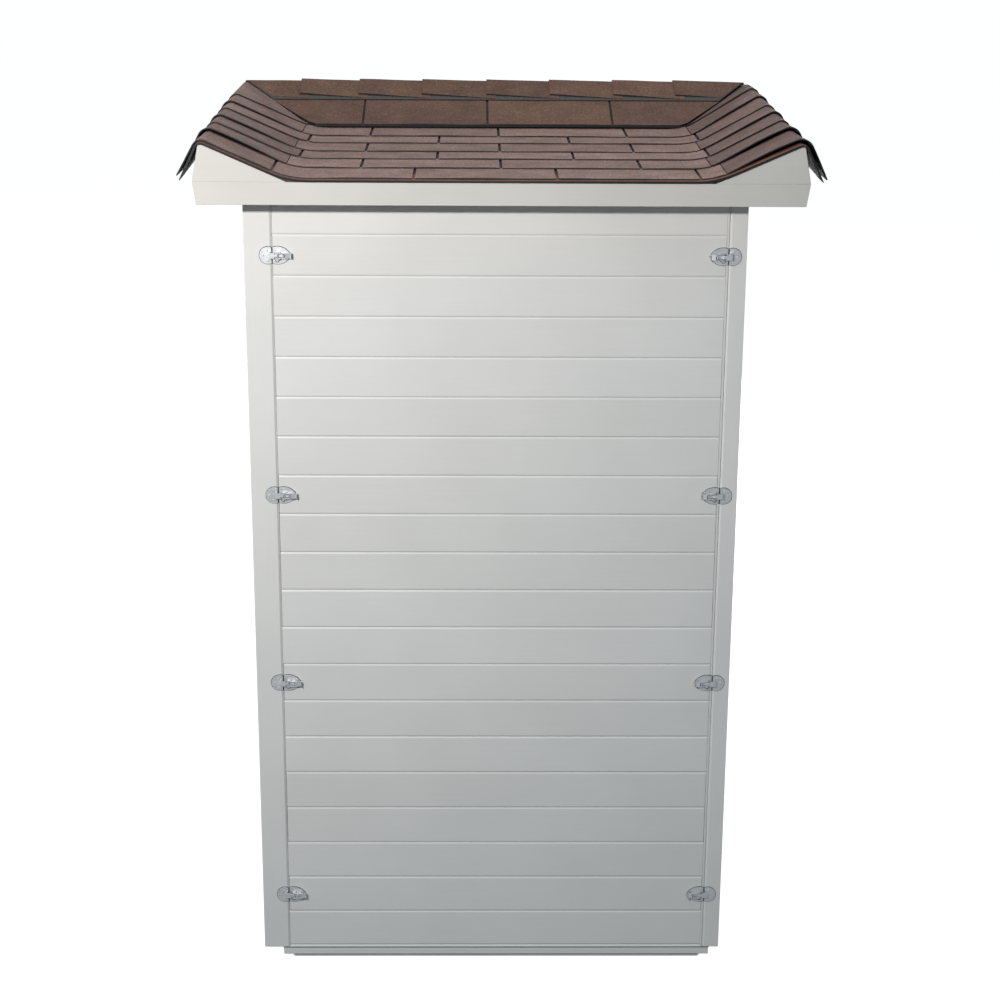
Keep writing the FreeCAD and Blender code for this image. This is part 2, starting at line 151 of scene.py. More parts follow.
# %% [markdown]
# ## Asphalt shingles
# A shingle is a glass mat soaked in bitumen, with fired mineral granules of 1 to 2 mm rolled
# into its top.  The eye reads a speckle of browns with a few pale grains, matt, with a faint
# grey sheen at a low angle.  Voronoi cells stand for the granules.  They are drawn 2.5 mm
# across, because real ones are too fine to show at this distance.  Their colour drifts in
# patches of about 70 mm.  Where a shingle was cut, its edge and its underside are bare black
# bitumen, and where its granules were left off the grey mat shows.  Both are nearly even, so
# their mottle is drawn a few millimetres coarse to show at all.

# %% Granule and bitumen materials
GRANULE = 2.5 * MM
PATCH = 71.43 * MM
BITUMEN_MOTTLE = 4 * MM
MAT_MOTTLE = 3.333 * MM


def mineral_granules(name, dark, middle, light):
    """Rolled-in granules whose cells fall on three colours."""
    material, tree, shader = new_material(name, Roughness=0.8, IOR=1.55)
    place = add(tree, "TexCoord").outputs["Object"]
    cells = add(tree, "TexVoronoi", {"Vector": place, "Scale": 1 / GRANULE})
    pick = add(tree, "SeparateColor", {"Color": cells.outputs["Color"]}).outputs["Red"]
    cloud = add(tree, "TexNoise", {"Vector": place, "Scale": 1 / PATCH, "Detail": 5})
    tone = add(tree, "Attribute", attribute_name="tone")
    grains = add(tree, "ValToRGB", {"Fac": pick},
                 stops=((0.0, dark), (0.5, middle), (0.93, middle), (1.0, light)))
    drift = add(tree, "ValToRGB", {"Fac": cloud.outputs["Fac"]},
                stops=((0.3, "#cfcac8"), (0.7, "#ffffff")))
    # The stored tone varies at random, and on the wings it is set lower as painted shade.
    ages_and_shade = add(tree, "ValToRGB", {"Fac": tone.outputs["Fac"]},
               stops=((0, "#b5b0ae"), (1, "#ffffff")))
    patchy = add(tree, "Mix", {0: 0.8, 6: grains.outputs[0], 7: drift.outputs[0]}, **MULTIPLY)
    toned = add(tree, "Mix", {0: 1.0, 6: patchy.outputs[2], 7: ages_and_shade.outputs[0]}, **MULTIPLY)
    tree.links.new(toned.outputs[2], shader.inputs["Base Color"])
    bump = add(tree, "Bump", {"Height": cells.outputs["Distance"], "Strength": 0.5,
                              "Distance": 0.5 * MM})
    tree.links.new(bump.outputs["Normal"], shader.inputs["Normal"])
    return material


def mottled(name, size, dark, light, bump=0.0, **settings):
    """A matt dark finish that wanders between two shades, rough where a bump is asked for."""
    material, tree, shader = new_material(name, **settings)
    place = add(tree, "TexCoord").outputs["Object"]
    dust = add(tree, "TexNoise", {"Vector": place, "Scale": 1 / size, "Detail": 2}).outputs["Fac"]
    shades = add(tree, "ValToRGB", {"Fac": dust}, stops=((0.3, dark), (0.75, light)))
    tree.links.new(shades.outputs["Color"], shader.inputs["Base Color"])
    if bump:
        pits = add(tree, "Bump", {"Height": dust, "Strength": bump, "Distance": 0.4 * MM})
        tree.links.new(pits.outputs["Normal"], shader.inputs["Normal"])
    return material


field_granules = mineral_granules("asphalt_granules_brown", "#7b5d54", "#ac887b", "#dcc3b6")
# The band and the caps take a warmer copy of the same granules, as painted warm key light.
ridge_granules_key_lit = mineral_granules("asphalt_granules_painted_key_light", "#553a2c", "#7a5643", "#a07e6a")
starter_granules = mineral_granules("asphalt_granules_rust", "#653d2a", "#8f5a3f", "#b08365")
bitumen = mottled("cut_bitumen", BITUMEN_MOTTLE, "#0d0d0f", "#212123", bump=0.4,
                  Roughness=0.7, IOR=1.6)
bare_mat = mottled("bare_shingle_mat", MAT_MOTTLE, "#3d3937", "#5a5552",
                   Roughness=0.85, IOR=1.55)
print("roof materials:", field_granules.name, ridge_granules_key_lit.name, starter_granules.name,
      bitumen.name, bare_mat.name)

# %% [markdown]
# ## Bright zinc-plated steel, painted shadow lines and spruce sheathing
# The latches are stamped from steel sheet and plated with zinc, which leaves a pale, slightly
# milky mirror with fine rolling lines.  Real ones are too fine to show, so they are drawn
# 1.2 mm apart.  A metal keeps Blender's default IOR.  Its colour is the colour of its
# reflections.  Thin dark rubbery beads with a faint mottle lie along the joints and paint the
# shadow lines there.
# The deck below the shingles is bare spruce, with rings about 7 mm apart.

# %% Metal, painted shadow line and sheathing materials
ROLLING_LINE, LINE_LENGTH = 1.2 * MM, 24 * MM
GLOSS_DRIFT = 0.06
SHADOW_LINE_MOTTLE = 2.5 * MM
RING_WIDTH, RING_LENGTH = 7.143 * MM, 250 * MM


def plated(name, hex_colour, roughness, metallic=1.0):
    """Zinc plate with rolling lines that break up the reflection."""
    material, tree, shader = new_material(name, Metallic=metallic)
    place = add(tree, "TexCoord").outputs["Object"]
    scale = (1 / LINE_LENGTH, 1 / ROLLING_LINE, 1 / ROLLING_LINE)
    lines = add(tree, "TexNoise", {
        "Vector": add(tree, "Mapping", {"Vector": place, "Scale": scale}).outputs["Vector"],
        "Scale": 1, "Detail": 3}).outputs["Fac"]
    milky = add(tree, "ValToRGB", {"Fac": lines}, stops=((0.3, "#e2e3e4"), (0.7, "#ffffff")))
    toned = add(tree, "Mix", {0: 1.0, 6: milky.outputs[0], 7: linear(hex_colour)}, **MULTIPLY)
    tree.links.new(toned.outputs[2], shader.inputs["Base Color"])
    gloss = add(tree, "MapRange", {"Value": lines, "To Min": roughness - GLOSS_DRIFT,
                                   "To Max": roughness + GLOSS_DRIFT})
    tree.links.new(gloss.outputs["Result"], shader.inputs["Roughness"])
    bump = add(tree, "Bump", {"Height": lines, "Strength": 0.15, "Distance": 0.1 * MM})
    tree.links.new(bump.outputs["Normal"], shader.inputs["Normal"])
    return material


def sawn_spruce(name):
    """Bare softwood with long growth rings."""
    material, tree, shader = new_material(name, Roughness=0.75, IOR=1.5)
    place = add(tree, "TexCoord").outputs["Object"]
    scale = (1 / RING_LENGTH, 1 / RING_WIDTH, 1 / RING_WIDTH)
    rings = add(tree, "TexNoise", {
        "Vector": add(tree, "Mapping", {"Vector": place, "Scale": scale}).outputs["Vector"],
        "Scale": 1, "Detail": 4}).outputs["Fac"]
    wood = add(tree, "ValToRGB", {"Fac": rings}, stops=((0.3, "#a67c4e"), (0.7, "#cfab7a")))
    tree.links.new(wood.outputs["Color"], shader.inputs["Base Color"])
    return material


zinc = plated("bright_zinc_plate", "#e6e7e9", 0.52, metallic=0.78)
wire_steel = plated("drawn_spring_wire", "#8f9093", 0.25)
# A dark mottled bead that paints the thin shadow lines round the latch plates and at the sill.
shadow_line_bead = mottled("dark_bead_painted_shadow_line", SHADOW_LINE_MOTTLE, "#2c2b2d", "#4c4a4a", Roughness=0.6, IOR=1.45)
sheathing = sawn_spruce("bare_spruce_sheathing")
print("metals:", zinc.name, wire_steel.name, "others:", shadow_line_bead.name, sheathing.name)

# %% [markdown]
# ## Turning lists of points into pieces
# Python makes a mesh from lists of corners and faces.  A helper turns them into a piece that
# rides on a body of the measured model, takes its finish, stores each face's tone, and keeps
# edges sharper than 15 degrees sharp while the rest shades smoothly.  Another copies a measured
# piece and rounds its edges with a bevel.

# %% Piece helpers
SHARP_FROM = math.radians(15)
FLAT_WITHIN = math.radians(1)
ROUND_FROM = math.radians(25)
SAME_SPOT = 0.01 * MM


def finished(piece, body, slot, *materials):
    """Ride on a body, take the materials, and shade smooth except at sharp edges; slot is not
    used.
    """
    piece.data.materials.clear()
    for material in materials:
        piece.data.materials.append(material)
    piece.data.shade_smooth()
    piece.data.set_sharp_from_angle(angle=SHARP_FROM)
    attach(piece, body)
    return piece


class Heap:
    """Corners, faces, material numbers and tones that together become one piece."""

    def __init__(self):
        self.corners, self.faces, self.kinds, self.tones = [], [], [], []

    def solid(self, layers, tone=1.0):
        """Join rings of corners, each as long as the next, into a tube with both ends shut."""
        start, size = len(self.corners), len(layers[0])
        for layer in layers:
            self.corners += layer
        faces = [tuple(range(start, start + size))[::-1],
                 tuple(range(start + size * (len(layers) - 1), start + size * len(layers)))]
        for row in range(len(layers) - 1):
            for col in range(size):
                a, b = start + row * size + col, start + row * size + (col + 1) % size
                faces.append((a, b, b + size, a + size))
        self.faces += faces
        self.kinds += [0] * len(faces)
        self.tones += [tone] * len(faces)

    def piece(self, name, body, slot, *materials):
        """Make the mesh, turn its faces outward and finish the piece."""
        mesh = bpy.data.meshes.new(name)
        mesh.from_pydata(self.corners, [], self.faces)
        mesh.attributes.new("tone", "FLOAT", "FACE").data.foreach_set("value", self.tones)
        shell = bmesh.new()
        shell.from_mesh(mesh)
        bmesh.ops.recalc_face_normals(shell, faces=shell.faces)
        shell.to_mesh(mesh)
        shell.free()
        made = bpy.data.objects.new(name, mesh)
        bpy.context.scene.collection.objects.link(made)
        finished(made, body, slot, *materials)
        mesh.polygons.foreach_set("material_index", self.kinds)
        return made


def softened(node, body, slot, material, edge):
    """A copy of a measured piece with rounded edges, which stands in for it.

    Flat areas lose their inner edges first, so that the rounding meets clean faces, and are cut
    again only where they are concave, so that no face folds over a hole.
    """
    shell = bmesh.new()
    shell.from_mesh(NODES[node].data)
    bmesh.ops.remove_doubles(shell, verts=shell.verts, dist=SAME_SPOT)
    bmesh.ops.dissolve_limit(shell, angle_limit=FLAT_WITHIN, verts=shell.verts,
                             edges=shell.edges)
    bmesh.ops.connect_verts_concave(shell, faces=shell.faces)
    mesh = bpy.data.meshes.new(node + "_shape")
    shell.to_mesh(mesh)
    shell.free()
    mesh.attributes.new("tone", "FLOAT", "FACE").data.foreach_set(
        "value", [draw.uniform(0.6, 1.0)] * len(mesh.polygons))
    piece = bpy.data.objects.new(node + "_finished", mesh)
    bpy.context.scene.collection.objects.link(piece)
    rounding = piece.modifiers.new("rounded_edges", "BEVEL")
    rounding.width = edge
    rounding.segments = 2
    rounding.limit_method = "ANGLE"
    rounding.angle_limit = ROUND_FROM
    rounding.harden_normals = True
    finished(piece, body, slot, material)
    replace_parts(piece, node)
    return piece


# %% [markdown]
# ## Floor, posts, soffit and roof trim
# These pieces are planed boards with their edges eased by a plane.  Their measured shapes are
# right as they are, so a bevel of a millimetre or two is enough to catch the light along each
# edge, as paint does.

# %% Soften the trim
POST_EDGE = 1.5 * MM
TRIM_EDGE = 1 * MM
for node in ("back_left_post", "back_right_post", "front_left_post", "front_right_post"):
    softened(node, "cabin", "painted_timber", post_paint, POST_EDGE)
for node in ("floor_panel", "base_runners", "ceiling_panel"):
    softened(node, "cabin", "painted_timber", board_paint, TRIM_EDGE)
for node in ("back_fascia", "left_fascia", "right_fascia", "front_fascia", "back_left_gable",
             "back_right_gable", "left_rim_board", "right_rim_board", "front_rim_board"):
    softened(node, "cabin", "painted_timber", trim_paint, TRIM_EDGE)
for node in ("tray_deck", "left_wing_deck", "right_wing_deck", "front_wing_deck"):
    for holder in NODES[node].material_slots:
        holder.material = sheathing
print("softened trim pieces and bare decks done")

# %% [markdown]
# ## Walls of tongue-and-groove boards
# Each wall is a stack of boards 100 mm apart.  Their edges are chamfered, so each joint shows as
# a V with a bright lower slope and a dark upper one.  A bump could fake the V, but from the side
# it would stay flat, so each board is its own solid.  The boards stop short of a smooth strip at
# one end, a 6 mm strip runs along the foot, and a lining stands behind them.

# %% Build the four walls
BOARD_PITCH = 100 * MM
FOOT_STRIP = 6 * MM
STRIP_SUNK = 0.2 * MM
STRIP_TONE = 0.8
BOARD_THICK = 14 * MM
V_DEEP = 1.7 * MM
V_WIDE = 3.7 * MM
TONGUE_GAP = 0.2 * MM
END_STRIP = 5 * MM


def board_ring(place, along, low, high, proud):
    """The section of one board, with a chamfer at each outer edge."""
    low, high = low + TONGUE_GAP, high - TONGUE_GAP
    section = ((-BOARD_THICK, low), (-V_DEEP, low), (proud, low + V_WIDE),
               (proud, high - V_WIDE), (-V_DEEP, high), (-BOARD_THICK, high))
    return [place(along, out, height) for out, height in section]


def block_rings(place, start, end, deep, face, low, high):
    """A straight block as two rings of four corners."""
    section = ((deep, low), (face, low), (face, high), (deep, high))
    return [[place(along, out, height) for out, height in section] for along in (start, end)]


def wall_of_boards(node, along_axis, outward):
    """Boards, end strip and lining for one wall; outward is +1 or -1 on the other axis."""
    low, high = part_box(node)
    out_axis = 1 - along_axis
    face = high[out_axis] if outward > 0 else low[out_axis]
    depth = high[out_axis] - low[out_axis]

    def place(along, out, height):
        point = [0, 0, height]
        point[along_axis] = along
        point[out_axis] = face + outward * out
        return tuple(point)

    heap = Heap()
    start, end = low[along_axis], high[along_axis] - END_STRIP
    joints = list(np.arange(low.z + FOOT_STRIP, high.z, BOARD_PITCH)) + [high.z]
    for under, over in zip(joints, joints[1:]):
        proud = draw.uniform(-0.3, 0.0) * MM
        short = draw.uniform(0.2, 1.2) * MM
        heap.solid([board_ring(place, start + short, under, over, proud),
                    board_ring(place, end - short, under, over, proud)],
                   tone=draw.uniform(0.3, 1.0))
    top = low.z + FOOT_STRIP - TONGUE_GAP
    foot = ((-BOARD_THICK, low.z), (0, low.z), (0, top - V_WIDE), (-V_DEEP, top),
            (-BOARD_THICK, top))
    heap.solid([[place(along, out, height) for out, height in foot] for along in (start, end)],
               tone=STRIP_TONE)
    heap.solid(block_rings(place, end, high[along_axis], -BOARD_THICK, -STRIP_SUNK,
                           low.z, high.z), tone=STRIP_TONE)
    heap.solid(block_rings(place, low[along_axis], high[along_axis], -depth,
                           -BOARD_THICK - TONGUE_GAP, low.z, high.z), tone=STRIP_TONE)
    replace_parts(heap.piece(node + "_boards", "cabin", "painted_timber", board_paint), node)
    return len(joints) - 1


for node, along_axis, outward in (("back_wall", 0, -1), ("front_wall", 0, 1),
                                  ("left_wall", 1, -1), ("right_wall", 1, 1)):
    print(node, "has", wall_of_boards(node, along_axis, outward), "boards")

# %% [markdown]
# ## The line that the shingles follow
# A shingle is stiff but warm bitumen bends, so it lies level on the tray, curves up a wing, turns
# over the rim and hangs down outside.  That line is a chain of straight runs with an arc at each
# corner.  It is worked out once as points with a direction square to them, and a shingle is then
# placed by how far along the line it starts and how high it lies above the deck.

# %% Roof line
SIDE_BEND = 220 * MM
FRONT_BEND = 120 * MM
RIM_BEND = 12 * MM
ARC_STEPS = 10


class RoofLine:
    """A bent line in a plane, measured by its own length."""

    def __init__(self, corners, bends):
        corners = [np.array(corner) for corner in corners]
        points, squares = [corners[0]], []
        ways = [(b - a) / np.linalg.norm(b - a) for a, b in zip(corners, corners[1:])]
        squares.append(self.square(ways[0]))
        for corner, bend, before, after in zip(corners[1:], bends, ways, ways[1:]):
            turn = math.acos(float(np.clip(before @ after, -1, 1)))
            reach = bend * math.tan(turn / 2)
            sense = 1 if before[0] * after[1] - before[1] * after[0] > 0 else -1
            centre = corner - before * reach + self.square(before) * bend * sense
            for step in range(ARC_STEPS + 1):
                angle = sense * turn * step / ARC_STEPS
                spin = np.array([[math.cos(angle), -math.sin(angle)],
                                 [math.sin(angle), math.cos(angle)]])
                square = spin @ self.square(before)
                points.append(centre - square * bend * sense)
                squares.append(square)
        points.append(corners[-1])
        squares.append(self.square(ways[-1]))
        self.points, self.squares = np.array(points), np.array(squares)
        steps = np.linalg.norm(np.diff(self.points, axis=0), axis=1)
        self.lengths = np.concatenate([[0], np.cumsum(steps)])

    @staticmethod
    def square(way):
        """The direction a quarter turn to the left of a way."""
        return np.array([-way[1], way[0]])

    def at(self, length, height):
        """The point at a length along the line and a height above it."""
        spot = [np.interp(length, self.lengths, self.points[:, k]) for k in (0, 1)]
        up = [np.interp(length, self.lengths, self.squares[:, k]) for k in (0, 1)]
        return spot[0] + up[0] * height, spot[1] + up[1] * height

    def length_at(self, across):
        """How far along the line a given distance across is reached."""
        return float(np.interp(across, self.points[:, 0], self.lengths))

    @property
    def end(self):
        """The whole length."""
        return float(self.lengths[-1])


tray_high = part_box("tray_deck")[1]
wing_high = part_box("right_wing_deck")[1]
fold_low, fold_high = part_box("right_shingle_fold")
DECK_TOP, RIM_TOP = tray_high.z, wing_high.z
CREASE_X, RIM_X = tray_high.x, wing_high.x
CREASE_Y, RIM_Y = tray_high.y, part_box("front_wing_deck")[1].y
BACK_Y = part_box("back_fascia")[0].y
SHEET_THICK = 6 * MM
FLAP_X = fold_high.x - SHEET_THICK
FLAP_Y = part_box("front_shingle_fold")[1].y - SHEET_THICK
FLAP_FOOT = fold_low.z
LEAD_IN = 100 * MM

side_line = RoofLine([(0, DECK_TOP), (CREASE_X, DECK_TOP), (RIM_X, RIM_TOP),
                      (FLAP_X, FLAP_FOOT)], [SIDE_BEND, RIM_BEND])
front_line = RoofLine([(CREASE_Y - LEAD_IN, DECK_TOP), (CREASE_Y, DECK_TOP), (RIM_Y, RIM_TOP),
                       (FLAP_Y, FLAP_FOOT)], [FRONT_BEND, RIM_BEND])
SIDE_RIM = side_line.length_at(RIM_X)
FRONT_RIM = front_line.length_at(RIM_Y)
print("length of roof line to the rim and to its end", round(SIDE_RIM, 3),
      round(side_line.end, 3))

# %% [markdown]
# ## Laying one shingle
# A shingle starts as a grid of places on the roof: rows up the slope, columns along the eave.
# Each place has a height, and the underside is the same grid lowered by the thickness.  The
# grid can be cut slantwise, which the valleys need, because each row has its own two ends.

# %% Shingle helpers
SHINGLE_THICK = 3 * MM
COLUMN_STEP = 12 * MM
RIM_STEP = 2.2 * MM
RIM_STEPS = 6
ROWS = 4
LOW_LIFT = 8.6 * MM
HIGH_LIFT = 5 * MM
WAVE = 1.2 * MM
WAVES_ACROSS = 3.1
SEED_SHIFT = 1.7
EDGE_FADE = 1.5


def on_sides(row, along, height):
    """A place on the tray or a side wing: row is Y, along is signed from the middle."""
    across, up = side_line.at(abs(along), height)
    return (math.copysign(across, along) if along else 0.0, row, up)


def on_front(row, along, height):
    """A place on the front wing: row is length up it, along is X."""
    depth, up = front_line.at(row, height)
    return (along, depth, up)


def valley_width(depth):
    """Half the width between the valleys, or between the mitres outside the rim."""
    inside = CREASE_X + (depth - CREASE_Y) * (RIM_X - CREASE_X) / (RIM_Y - CREASE_Y)
    return RIM_X + depth - RIM_Y if depth > RIM_Y else inside


def column_shares(left, right, over_rim):
    """Even columns, with closer ones where a piece turns over a side rim."""
    shares = list(np.linspace(0, 1, max(2, int(abs(right - left) / COLUMN_STEP) + 2)))
    if over_rim:
        close = [side * (SIDE_RIM + step * RIM_STEP) for side in (-1, 1)
                 for step in range(-RIM_STEPS, RIM_STEPS + 1)]
        shares = [share for share in shares if all(
            abs(left + (right - left) * share - spot) > RIM_STEP / 2 for spot in close)]
        shares += [(spot - left) / (right - left) for spot in close]
    return sorted(share for share in shares if 0 <= share <= 1)


def lay(heap, place, rows, ends, height, thick=SHINGLE_THICK, tone=1.0, over_rim=False):
    """Add one piece of shingle.

    ends(row) gives its two sides, and height(row share, column share) how high it lies.  The
    granules are material 0, the cut edges and the underside material 1.
    """
    left, right = max((ends(row) for row in rows), key=lambda pair: abs(pair[1] - pair[0]))
    columns = column_shares(left, right, over_rim)
    count = len(columns)
    start = len(heap.corners)
    for level in (0, thick):
        for number, row in enumerate(rows):
            left, right = ends(row)
            share = number / (len(rows) - 1)
            for column in columns:
                heap.corners.append(place(row, left + (right - left) * column,
                                          height(share, column) - level))
    under = start + len(rows) * count

    def quad(a, b, c, d, kind):
        heap.faces.append((a, b, c, d))
        heap.kinds.append(kind)
        heap.tones.append(tone)

    for row in range(len(rows) - 1):
        for col in range(count - 1):
            a = row * count + col
            quad(start + a, start + a + 1, start + a + count + 1, start + a + count, 0)
            quad(under + a, under + a + count, under + a + count + 1, under + a + 1, 1)
        for col in (0, count - 1):
            a = row * count + col
            quad(start + a, under + a, under + a + count, start + a + count, 1)
    for col in range(count - 1):
        for row in (0, len(rows) - 1):
            a = row * count + col
            quad(start + a, under + a, under + a + 1, start + a + 1, 1)


def lying(lift=0.0, seed=0.0, low=LOW_LIFT, high=HIGH_LIFT):
    """Heights of a shingle that tapers up the slope, with a wavy edge and an optional gape."""
    def height(share, column):
        wave = noise.noise((column * WAVES_ACROSS + seed, seed * SEED_SHIFT, 0)) * WAVE
        gape = lift * math.sin(math.pi * min(1, max(0, column)))
        return low + (high - low) * share + (wave + gape) * (1 - share) ** EDGE_FADE
    return height


# %% [markdown]
# ## Underlay and starter strip
# Black bitumen felt covers the deck first and pokes out 3 mm along the back, as a dark line
# between the white fascia and the shingles.  At the other edges it turns over the rim and ends
# a little short of them.  Its black also shows through the slots between the tabs, where it
# paints the shade in the slots.  A starter strip cut from a rust-brown shingle lies along the
# back edge, under the first course.

# %% Lay the underlay and the starter
FELT_THICK = 2 * MM
FELT_TOP = 2.5 * MM
FELT_PROUD = 3 * MM
FELT_SHORT = 12 * MM
TRAY_ROWS, WING_ROWS, FRONT_ROWS = 12, 8, 16
REACH = side_line.end - FELT_SHORT


def flat(height):
    """Heights of a sheet that lies evenly."""
    return lambda share, column: height


def half_wide(row):
    """Half the width of the front wing at a length up it."""
    return valley_width(front_line.at(row, 0)[0])


felt = Heap()
lay(felt, on_sides, np.linspace(BACK_Y - FELT_PROUD, CREASE_Y, TRAY_ROWS),
    lambda row: (-REACH, REACH), flat(FELT_TOP), FELT_THICK, over_rim=True)
for side in (-1, 1):
    lay(felt, on_sides, np.linspace(CREASE_Y, FLAP_Y, WING_ROWS),
        lambda row: (side * side_line.length_at(valley_width(row)), side * REACH),
        flat(FELT_TOP), FELT_THICK, over_rim=True)
lay(felt, on_front, np.linspace(LEAD_IN, front_line.end - FELT_SHORT, FRONT_ROWS),
    lambda row: (-half_wide(row), half_wide(row)), flat(FELT_TOP), FELT_THICK)
# Where the felt shows through the slots between the tabs, its black is painted shade.
felt.piece("bitumen_underlay", "cabin", "asphalt_shingle", bitumen, bitumen)

STARTER_PROUD = 1 * MM
STARTER_DEEP = 90 * MM
STARTER_SHORT = 4 * MM
STARTER_THICK = 2.5 * MM
starter = Heap()
lay(starter, on_sides, np.linspace(BACK_Y - STARTER_PROUD, BACK_Y + STARTER_DEEP, ROWS),
    lambda row: (-side_line.end + STARTER_SHORT, side_line.end - STARTER_SHORT),
    lying(seed=4.0, low=5.5 * MM, high=4.5 * MM), STARTER_THICK, over_rim=True)
starter.piece("starter_strip", "cabin", "asphalt_shingle", starter_granules, bitumen)
print("underlay and starter laid")

# %% [markdown]
# ## Courses of three-tab shingles
# A course is a row of shingles 333 mm wide, parted by slots, and each course covers the upper
# part of the one before.  Slots of one course fall between those of its neighbours.  The wings'
# courses start at the bend with a cut, carry on over the rim, and hang down outside.  They were
# laid by hand, so the courses aren't evenly apart and some edges gape.

# %% Sizes of the courses
TAB_WIDE = 333 * MM
SLOT = 6.5 * MM
BUTT = 2 * MM
HIDDEN = 22 * MM
COURSE_STARTS = [start * MM for start in (15, 164, 299, 415, 549, 666, 812)]
TRAY_COURSES = 6
FIRST_SLOT = {1: -204 * MM, 3: -154 * MM, 5: -154 * MM}
# Where each course is cut at the two bends, and how wide the cut is.
LEFT_CUT = {1: (-537 * MM, SLOT), 3: (-490 * MM, SLOT), 5: (-487 * MM, SLOT)}
RIGHT_CUT = {1: (525 * MM, BUTT), 3: (512 * MM, SLOT), 5: (512 * MM, SLOT)}
USUAL_CUTS = ((-512 * MM, BUTT), (502 * MM, BUTT))
UPPER_CUTS = ((-505 * MM, BUTT), (500 * MM, BUTT))
LEAST_TAB = 40 * MM
# How far the middle of a strip's lower edge gapes, by side and course.
GAPES = {(-1, 2): 7 * MM, (1, 1): 9 * MM, (1, 2): 8 * MM, (-1, 4): 3 * MM, (1, 4): 3 * MM,
         (1, 6): 3 * MM, (-1, 6): 3 * MM}
# The most that an edge laid by hand gapes, and that a tip falls short, in mm.
SLIGHT_GAPE, RAGGED = 1.2, 8
SEEDS = 90
FLAP_SPREAD = 7 * MM
PAST_RIM = 1.05
# How much further forward a course starts at the right rim than at the bend.
RIGHT_FAN = {2: 50 * MM, 3: 70 * MM, 4: 95 * MM, 5: 95 * MM, 6: 145 * MM, 7: 165 * MM}
LEAST_DEEP = 4 * MM
# The lowest tone of a shingle, and how much chance may add to it.
TRAY_TONES = (0.65, 0.35)
# The wings take lower tones than the tray, the right wing lowest, as painted shade.
WING_SHADE_TONES = {-1: (0.45, 0.45), 1: (0.0, 0.3)}
print("courses:", len(COURSE_STARTS), "of them across the tray:", TRAY_COURSES)

# %% [markdown]
# A course is laid in three parts: the tabs across the tray, each of them level between its two
# slots, and one long strip for each wing.  A strip narrows to nothing where the valley cuts it,
# and what hangs outside the rim stands off a little from the course below.

# %% Tabs on the tray and strips on the wings
courses = Heap()


def with_flap(height, low_along, high_along, spread):
    """The same heights, but the part that hangs outside the rim stands off more and more."""
    def raised(share, column):
        along = abs(low_along + (high_along - low_along) * column)
        off = max(0.0, along - SIDE_RIM) / (side_line.end - SIDE_RIM)
        return height(share, column) + off * spread
    return raised


def lay_tray_course(number, low_row, high_row):
    """The level tabs of one course, between the cuts at the two bends."""
    slots = [(FIRST_SLOT.get(number, 0) + k * TAB_WIDE, SLOT) for k in range(-3, 4)]
    left = LEFT_CUT.get(number, USUAL_CUTS[0])
    right = RIGHT_CUT.get(number, USUAL_CUTS[1])
    inside = [slot for slot in slots if left[0] + LEAST_TAB < slot[0] < right[0] - LEAST_TAB]
    cuts = [left] + inside + [right]
    rows = np.linspace(low_row, high_row, ROWS)
    for (start, start_gap), (end, end_gap) in zip(cuts, cuts[1:]):
        skew = draw.uniform(-1, 1) * MM
        lay(courses, on_sides, rows + skew,
            lambda row: (start + start_gap / 2, end - end_gap / 2),
            lying(draw.uniform(0, SLIGHT_GAPE) * MM, draw.uniform(0, SEEDS)),
            tone=TRAY_TONES[0] + TRAY_TONES[1] * draw.random())
    return left, right


def ragged_end(line):
    """The tip of a piece that was cut by hand, a little short of the line's end."""
    return line.end - draw.uniform(0, RAGGED) * MM


def valley_depth(along):
    """The furthest Y that a side wing reaches at a length along its line."""
    across = side_line.at(abs(along), 0)[0]
    inside = CREASE_Y + (across - CREASE_X) * (RIM_Y - CREASE_Y) / (RIM_X - CREASE_X)
    return RIM_Y + across - RIM_X if across > RIM_X else max(CREASE_Y, inside)


def lay_wing_course(side, number, cut, gap):
    """One strip that climbs a wing from the cut at the bend, and hangs over the rim."""
    tip = ragged_end(side_line)
    inner = abs(cut) + gap / 2
    fans = [RIGHT_FAN.get(n, 0) if side > 0 else 0 for n in (number, number + 1)]
    last = number == len(COURSE_STARTS)
    low_row = BACK_Y + COURSE_STARTS[number - 1]
    high_row = FLAP_Y if last else BACK_Y + COURSE_STARTS[number] + HIDDEN

    def span(along):
        """Its lower and upper edge at a length along it."""
        climbed = min(PAST_RIM, (abs(along) - abs(cut)) / (SIDE_RIM - abs(cut)))
        low = low_row + fans[0] * climbed
        return low, min(high_row + fans[1] * climbed, valley_depth(along) - 1 * MM)

    while span(inner)[1] - span(inner)[0] < LEAST_DEEP:
        inner += 1 * MM

    def strip_place(row, along, height):
        """Row is a share of the strip's depth, which changes along it."""
        low, high = span(along)
        return on_sides(low + (high - low) * row, along, height)

    base = lying(GAPES.get((side, number), draw.uniform(0, SLIGHT_GAPE) * MM),
                 draw.uniform(0, SEEDS), low=LOW_LIFT + 1 * MM)
    lay(courses, strip_place, np.linspace(0, 1, ROWS + 2), lambda row: (side * inner, side * tip),
        with_flap(base, side * inner, side * tip, FLAP_SPREAD),
        tone=WING_SHADE_TONES[side][0] + WING_SHADE_TONES[side][1] * draw.random(), over_rim=True)


print("length of a wing strip outside the rim", round(side_line.end - SIDE_RIM, 3))

# %% Lay the courses
for number, start in enumerate(COURSE_STARTS, 1):
    left, right = UPPER_CUTS
    if number <= TRAY_COURSES:
        high_row = BACK_Y + COURSE_STARTS[number] + HIDDEN
        left, right = lay_tray_course(number, BACK_Y + start, min(high_row, CREASE_Y))
    lay_wing_course(-1, number, *left)
    lay_wing_course(1, number, *right)
courses.piece("shingle_courses", "cabin", "asphalt_shingle", field_granules, bitumen)
print("faces in the courses", len(courses.faces))
